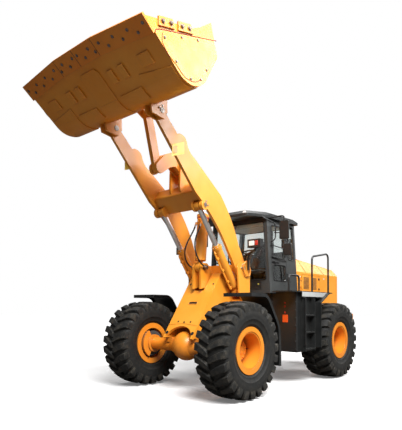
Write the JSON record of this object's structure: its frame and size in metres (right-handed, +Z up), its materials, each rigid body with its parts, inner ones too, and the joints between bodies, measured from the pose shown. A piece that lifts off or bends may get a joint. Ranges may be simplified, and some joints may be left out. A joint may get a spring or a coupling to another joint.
{
  "type": "articulated wheel loader",
  "caption": "Articulated wheel loader with a raised Z-bar boom and bucket, enclosed cab, rear hood and counterweight, on large treaded tyres.",
  "frame": {"origin": "On the ground, under the middle of the overall length and width as it stands with the boom raised.", "axes": "+X is the machine's left, -Y is forward, +Z is up."},
  "size_m": [2.99, 7.8392, 5.6089],
  "materials": {
    "yellow_paint": "semi-gloss orange-yellow machine enamel",
    "cab_grey": "satin dark grey enamel",
    "black_paint": "satin black enamel",
    "tyre_rubber": "dull, dusty at the tread",
    "chromed_rod": "hard chromed and ground",
    "worn_steel": "worn bright by use",
    "engine_iron": "painted cast iron",
    "tinted_glass": "lightly tinted safety glass",
    "dark_plastic": "grained black plastic",
    "seat_fabric": "dark woven cover",
    "hose_rubber": "wire braided hose, smooth cover"
  },
  "bodies": {
    "rear_frame": {"cab_frame": "cab_grey", "cab_glass": "tinted_glass", "cab_roof": "cab_grey", "counterweight": "yellow_paint", "decks": "black_paint", "engine_block": "engine_iron", "handrails": "black_paint", "hood": "yellow_paint", "ladders": "black_paint", "mirrors": "dark_plastic", "operator_seat": "seat_fabric", "rear_axle": "yellow_paint", "rear_fenders": "black_paint", "rear_frame": "black_paint", "stacks": "black_paint", "steering_column": "dark_plastic", "tanks": "black_paint"},
    "front_frame": {"front_frame": "yellow_paint", "front_axle": "yellow_paint", "front_fenders": "black_paint", "headlamps": "dark_plastic"},
    "front_left_wheel": {"tyre_front_left": "tyre_rubber", "rim_front_left": "yellow_paint"},
    "front_right_wheel": {"tyre_front_right": "tyre_rubber", "rim_front_right": "yellow_paint"},
    "rear_left_wheel": {"tyre_rear_left": "tyre_rubber", "rim_rear_left": "yellow_paint"},
    "rear_right_wheel": {"tyre_rear_right": "tyre_rubber", "rim_rear_right": "yellow_paint"},
    "cab_door": {"cab_door": "cab_grey", "cab_door_glass": "tinted_glass"},
    "hood_door_left": {"hood_door_left": "yellow_paint"},
    "hood_door_right": {"hood_door_right": "yellow_paint"},
    "rear_grille": {"rear_grille": "black_paint"},
    "boom": {"boom": "yellow_paint"},
    "bucket_pins": {"bucket_pins": "worn_steel"},
    "bucket": {"bucket": "yellow_paint", "cutting_edge": "worn_steel"},
    "rocker_pin": {"rocker_pin": "worn_steel"},
    "rocker": {"rocker": "yellow_paint"},
    "link_pin": {"link_pin": "worn_steel"},
    "tilt_link": {"tilt_link": "black_paint"},
    "tilt_base_pin": {"tilt_base_pin": "worn_steel"},
    "tilt_barrel": {"tilt_barrel": "yellow_paint", "tilt_hoses": "hose_rubber"},
    "tilt_rod": {"tilt_rod": "chromed_rod"},
    "lift_barrels": {"lift_barrels": "yellow_paint"},
    "lift_rods": {"lift_rods": "chromed_rod"},
    "steering_barrel_left": {"steering_barrel_left": "yellow_paint"},
    "steering_rod_left": {"steering_rod_left": "chromed_rod"},
    "steering_barrel_right": {"steering_barrel_right": "yellow_paint"},
    "steering_rod_right": {"steering_rod_right": "chromed_rod"}
  },
  "joints": [
    {"name": "articulation", "type": "hinge", "parent": "rear_frame", "child": "front_frame", "pos_m": [0, 0.2546, 1], "axis": [0, 0, 1], "range_deg": [-35, 35]},
    {"name": "front_left_wheel_spin", "type": "hinge", "parent": "front_frame", "child": "front_left_wheel", "pos_m": [1.15, -1.4204, 0.8], "axis": [1, 0, 0], "continuous": true},
    {"name": "front_right_wheel_spin", "type": "hinge", "parent": "front_frame", "child": "front_right_wheel", "pos_m": [-1.15, -1.4204, 0.8], "axis": [1, 0, 0], "continuous": true},
    {"name": "rear_left_wheel_spin", "type": "hinge", "parent": "rear_frame", "child": "rear_left_wheel", "pos_m": [1.15, 1.9296, 0.8], "axis": [1, 0, 0], "continuous": true},
    {"name": "rear_right_wheel_spin", "type": "hinge", "parent": "rear_frame", "child": "rear_right_wheel", "pos_m": [-1.15, 1.9296, 0.8], "axis": [1, 0, 0], "continuous": true},
    {"name": "cab_door_swing", "type": "hinge", "parent": "rear_frame", "child": "cab_door", "pos_m": [0.78266, 0.8196, 1.83], "axis": [-0.0571, 0, 0.9984], "range_deg": [0, 90]},
    {"name": "hood_door_left_swing", "type": "hinge", "parent": "rear_frame", "child": "hood_door_left", "pos_m": [0.5755, 1.7696, 1.85], "axis": [0, 0, -1], "range_deg": [0, 80]},
    {"name": "hood_door_right_swing", "type": "hinge", "parent": "rear_frame", "child": "hood_door_right", "pos_m": [-0.5755, 1.7696, 1.85], "axis": [0, 0, 1], "range_deg": [0, 80]},
    {"name": "rear_grille_swing", "type": "hinge", "parent": "rear_frame", "child": "rear_grille", "pos_m": [-0.43, 3.6451, 1.48], "axis": [0, 0, 1], "range_deg": [0, 100]},
    {"name": "boom_lift", "type": "hinge", "parent": "front_frame", "child": "boom", "pos_m": [0, -0.5524, 2.222], "axis": [-1, 0, 0], "range_deg": [-83, 0]},
    {"name": "bucket_level", "type": "hinge", "parent": "boom", "child": "bucket_pins", "pos_m": [0, -2.6884, 4.517], "axis": [1, 0, 0], "range_deg": [-71.15, 0.5]},
    {"name": "bucket_tilt", "type": "hinge", "parent": "bucket_pins", "child": "bucket", "pos_m": [0, -2.6884, 4.517], "axis": [1, 0, 0], "range_deg": [-5, 80.1]},
    {"name": "rocker_level", "type": "hinge", "parent": "boom", "child": "rocker_pin", "pos_m": [0, -1.6344, 3.972], "axis": [1, 0, 0], "range_deg": [-0.5, 38.83]},
    {"name": "rocker_turn", "type": "hinge", "parent": "rocker_pin", "child": "rocker", "pos_m": [0, -1.6344, 3.972], "axis": [1, 0, 0], "range_deg": [-40.12, 2.97]},
    {"name": "link_level", "type": "hinge", "parent": "bucket", "child": "link_pin", "pos_m": [0, -2.4304, 4.73], "axis": [1, 0, 0], "range_deg": [-0.5, 82.46]},
    {"name": "link_turn", "type": "hinge", "parent": "link_pin", "child": "tilt_link", "pos_m": [0, -2.4304, 4.73], "axis": [1, 0, 0], "range_deg": [-44.27, 3.23]},
    {"name": "tilt_base_level", "type": "hinge", "parent": "front_frame", "child": "tilt_base_pin", "pos_m": [0, -1.0744, 2.23], "axis": [1, 0, 0], "range_deg": [-0.5, 101.8]},
    {"name": "tilt_barrel_turn", "type": "hinge", "parent": "tilt_base_pin", "child": "tilt_barrel", "pos_m": [0, -1.0744, 2.23], "axis": [1, 0, 0], "range_deg": [-1.3, 13.28]},
    {"name": "tilt_rod_slide", "type": "slide", "parent": "tilt_barrel", "child": "tilt_rod", "axis": [0, 0.0888, 0.9961], "range_m": [-0.3952, 0.0265]},
    {"name": "lift_barrel_turn", "type": "hinge", "parent": "front_frame", "child": "lift_barrels", "pos_m": [0, -0.5304, 1.79], "axis": [1, 0, 0], "range_deg": [-0.5, 76.98]},
    {"name": "lift_rod_slide", "type": "slide", "parent": "lift_barrels", "child": "lift_rods", "axis": [0, -0.5996, 0.8003], "range_m": [-0.5486, 0.002]},
    {"name": "steering_barrel_left_turn", "type": "hinge", "parent": "rear_frame", "child": "steering_barrel_left", "pos_m": [0.48, 0.8696, 1], "axis": [0, 0, 1], "range_deg": [-11.08, 11.08]},
    {"name": "steering_rod_left_slide", "type": "slide", "parent": "steering_barrel_left", "child": "steering_rod_left", "axis": [-0.083, -0.9965, 0], "range_m": [-0.2572, 0.2572]},
    {"name": "steering_barrel_right_turn", "type": "hinge", "parent": "rear_frame", "child": "steering_barrel_right", "pos_m": [-0.48, 0.8696, 1], "axis": [0, 0, 1], "range_deg": [-11.08, 11.08]},
    {"name": "steering_rod_right_slide", "type": "slide", "parent": "steering_barrel_right", "child": "steering_rod_right", "axis": [0.083, -0.9965, 0], "range_m": [-0.2572, 0.2572]}
  ],
  "couplings": [
    {"joint": "bucket_level", "follows": "boom_lift", "ratio": 0.85116},
    {"joint": "rocker_level", "follows": "boom_lift", "ratio": -0.46175},
    {"joint": "rocker_turn", "follows": "bucket_tilt", "ratio": -0.49461},
    {"joint": "link_level", "follows": "boom_lift", "ratio": -0.98745},
    {"joint": "link_turn", "follows": "bucket_tilt", "ratio": -0.5464},
    {"joint": "tilt_base_level", "follows": "boom_lift", "ratio": -1.2204},
    {"joint": "tilt_barrel_turn", "follows": "bucket_tilt", "ratio": 0.15948},
    {"joint": "tilt_rod_slide", "follows": "bucket_tilt", "m_per_rad": -0.28128},
    {"joint": "lift_barrel_turn", "follows": "boom_lift", "ratio": -0.9215},
    {"joint": "lift_rod_slide", "follows": "boom_lift", "m_per_rad": 0.37731},
    {"joint": "steering_barrel_left_turn", "follows": "articulation", "ratio": 0.30231},
    {"joint": "steering_rod_left_slide", "follows": "articulation", "m_per_rad": -0.41783},
    {"joint": "steering_barrel_right_turn", "follows": "articulation", "ratio": 0.30231},
    {"joint": "steering_rod_right_slide", "follows": "articulation", "m_per_rad": 0.41783}
  ]
}
